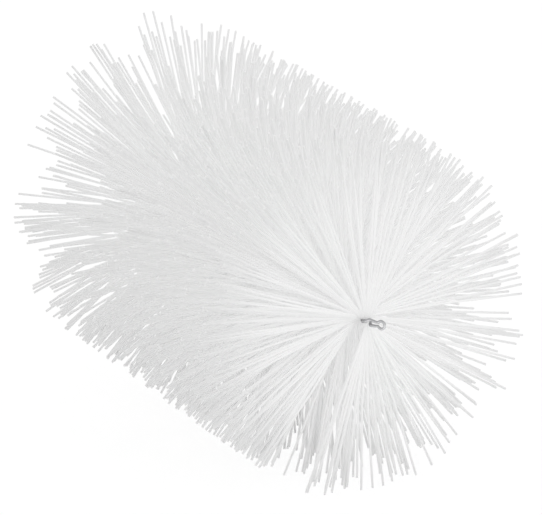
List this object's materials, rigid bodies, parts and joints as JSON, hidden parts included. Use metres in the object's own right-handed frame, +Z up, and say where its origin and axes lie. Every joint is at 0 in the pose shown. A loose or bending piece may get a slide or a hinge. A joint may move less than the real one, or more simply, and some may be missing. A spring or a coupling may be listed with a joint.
{
  "type": "tube brush",
  "caption": "Twisted-wire tube brush head: white filaments round a steel core wire with a front eye, and a threaded ferrule behind.",
  "frame": {"origin": "centre of the stud's rear end face", "axes": "+X along the brush from the stud to the wire's front eye, +Z up as the brush lies on its bristles"},
  "size_m": [0.1624, 0.1025, 0.1021],
  "materials": {
    "filament": "white polyester filaments, slightly glossy",
    "spring_wire": "drawn stainless spring wire",
    "turned_steel": "turned stainless steel"
  },
  "bodies": {
    "root": {"core_wire": "spring_wire", "threaded_ferrule": "turned_steel", "bristle_band_01": "filament", "bristle_band_02": "filament", "bristle_band_03": "filament", "bristle_band_04": "filament", "bristle_band_05": "filament", "bristle_band_06": "filament", "bristle_band_07": "filament", "bristle_band_08": "filament", "bristle_band_09": "filament", "bristle_band_10": "filament"}
  },
  "joints": []
}
